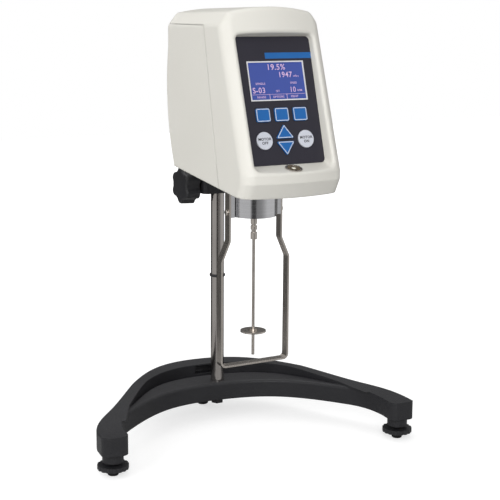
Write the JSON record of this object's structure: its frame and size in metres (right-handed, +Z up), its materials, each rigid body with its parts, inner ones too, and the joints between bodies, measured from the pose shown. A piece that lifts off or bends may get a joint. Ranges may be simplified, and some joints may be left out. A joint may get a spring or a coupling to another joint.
{
  "type": "rotational viscometer on a lab stand",
  "caption": "Bench rotational viscometer: a tilted display head over a disc spindle and guard leg, on a rack column with a curved cast base.",
  "frame": {"origin": "point of the bench under the spindle's axis, where a beaker stands", "axes": "+Z up along the spindle's axis, -Y towards the person who reads the display, +X to that person's right"},
  "size_m": [0.3475, 0.2556, 0.4598],
  "materials": {
    "charcoal_coat": "textured",
    "bright_steel": "polished",
    "stainless": "satin",
    "cast_aluminium": "satin",
    "brass_parts": "satin",
    "spring_steel": "polished",
    "pivot_stone": "polished",
    "housing_plastic": "fine texture",
    "panel_film": "satin",
    "frame_grey": "satin",
    "display_blue": "polished",
    "key_blue": "satin",
    "key_grey": "satin",
    "black_plastic": "satin",
    "foot_rubber": "matte",
    "level_fluid": "polished",
    "level_metal": "satin",
    "board_green": "satin"
  },
  "bodies": {
    "stand": {"base_casting": "charcoal_coat", "column": "bright_steel", "column_screw": "stainless", "column_washer": "stainless", "stop_ring": "bright_steel", "rear_foot": "charcoal_coat", "foot_bushes": "brass_parts"},
    "head": {"clamp_block": "charcoal_coat", "column_liner": "brass_parts", "tension_screw": "black_plastic", "mounting_rod": "bright_steel", "rod_nut": "stainless", "pinion_bush": "brass_parts", "front_housing": "housing_plastic", "rear_cover": "housing_plastic", "bottom_plate": "cast_aluminium", "chassis": "cast_aluminium", "pivot_housing": "stainless", "pivot_jewel": "pivot_stone", "guard_leg": "stainless", "guard_leg_screws": "stainless", "keypad_overlay": "panel_film", "display_frame": "frame_grey", "display_module": "display_blue", "keypad_board": "board_green", "level_case": "level_metal", "level_vial": "level_fluid", "angle_sensor": "black_plastic", "motor_bridge": "stainless", "drive_bearing": "brass_parts", "motor": "cast_aluminium", "main_board": "board_green", "power_inlet": "black_plastic", "switch_body": "black_plastic", "data_socket": "level_metal"},
    "lift": {"lift_pinion": "bright_steel", "lift_knob": "black_plastic"},
    "lock": {"lock_screw": "black_plastic"},
    "left_pad": {"left_foot_pad": "foot_rubber"},
    "left_screw": {"left_foot_screw": "black_plastic"},
    "right_pad": {"right_foot_pad": "foot_rubber"},
    "right_screw": {"right_foot_screw": "black_plastic"},
    "drive": {"drive_shaft": "cast_aluminium", "torsion_spring": "spring_steel"},
    "measuring": {"pivot_shaft": "stainless", "coupling_nut": "stainless", "spindle": "stainless", "signal_disc": "stainless"},
    "rocker": {"power_rocker": "black_plastic"},
    "key_left_body": {"key_left": "key_blue"},
    "key_middle_body": {"key_middle": "key_blue"},
    "key_right_body": {"key_right": "key_blue"},
    "key_up_body": {"key_up": "key_blue"},
    "key_down_body": {"key_down": "key_blue"},
    "key_stop_body": {"key_stop": "key_grey"},
    "key_start_body": {"key_start": "key_grey"}
  },
  "joints": [
    {"name": "head_lift", "type": "slide", "parent": "stand", "child": "head", "axis": [0, 0, 1], "range_m": [-0.09, 0.06]},
    {"name": "lift_turn", "type": "hinge", "parent": "head", "child": "lift", "pos_m": [0.0133, 0.1164, 0.267], "axis": [1, 0, 0], "range_deg": [-900, 600]},
    {"name": "lock_turn", "type": "hinge", "parent": "head", "child": "lock", "pos_m": [0, 0.1185, 0.322], "axis": [0, 0, 1], "range_deg": [0, 270]},
    {"name": "drive_spin", "type": "hinge", "parent": "head", "child": "drive", "pos_m": [0, 0, 0.32], "axis": [0, 0, 1], "continuous": true},
    {"name": "spindle_windup", "type": "hinge", "parent": "drive", "child": "measuring", "pos_m": [0, 0, 0.3], "axis": [0, 0, 1], "range_deg": [0, 85], "stiffness_Nm_per_rad": 0.000486},
    {"name": "rocker_tilt", "type": "hinge", "parent": "head", "child": "rocker", "pos_m": [0.0375, 0.0815, 0.374], "axis": [1, 0, 0], "range_deg": [-18, 0]},
    {"name": "left_foot_height", "type": "slide", "parent": "stand", "child": "left_pad", "axis": [0, 0, 1], "range_m": [-0.006, 0.002]},
    {"name": "left_foot_turn", "type": "hinge", "parent": "left_pad", "child": "left_screw", "pos_m": [-0.16306, -0.00622, 0.009], "axis": [0, 0, 1], "range_deg": [-1800, 640]},
    {"name": "right_foot_height", "type": "slide", "parent": "stand", "child": "right_pad", "axis": [0, 0, 1], "range_m": [-0.006, 0.002]},
    {"name": "right_foot_turn", "type": "hinge", "parent": "right_pad", "child": "right_screw", "pos_m": [0.15271, -0.05003, 0.009], "axis": [0, 0, 1], "range_deg": [-1800, 640]},
    {"name": "key_left_press", "type": "slide", "parent": "head", "child": "key_left_body", "axis": [0, 0.9607, -0.2776], "range_m": [0, 0.0004], "stiffness_N_per_m": 2500},
    {"name": "key_middle_press", "type": "slide", "parent": "head", "child": "key_middle_body", "axis": [0, 0.9607, -0.2776], "range_m": [0, 0.0004], "stiffness_N_per_m": 2500},
    {"name": "key_right_press", "type": "slide", "parent": "head", "child": "key_right_body", "axis": [0, 0.9607, -0.2776], "range_m": [0, 0.0004], "stiffness_N_per_m": 2500},
    {"name": "key_up_press", "type": "slide", "parent": "head", "child": "key_up_body", "axis": [0, 0.9607, -0.2776], "range_m": [0, 0.0004], "stiffness_N_per_m": 2500},
    {"name": "key_down_press", "type": "slide", "parent": "head", "child": "key_down_body", "axis": [0, 0.9607, -0.2776], "range_m": [0, 0.0004], "stiffness_N_per_m": 2500},
    {"name": "key_stop_press", "type": "slide", "parent": "head", "child": "key_stop_body", "axis": [0, 0.9607, -0.2776], "range_m": [0, 0.0004], "stiffness_N_per_m": 2500},
    {"name": "key_start_press", "type": "slide", "parent": "head", "child": "key_start_body", "axis": [0, 0.9607, -0.2776], "range_m": [0, 0.0004], "stiffness_N_per_m": 2500}
  ],
  "couplings": [
    {"joint": "lift_turn", "follows": "head_lift", "rad_per_m": 166.67},
    {"joint": "left_foot_turn", "follows": "left_foot_height", "rad_per_m": 5026.5},
    {"joint": "right_foot_turn", "follows": "right_foot_height", "rad_per_m": 5026.5}
  ]
}
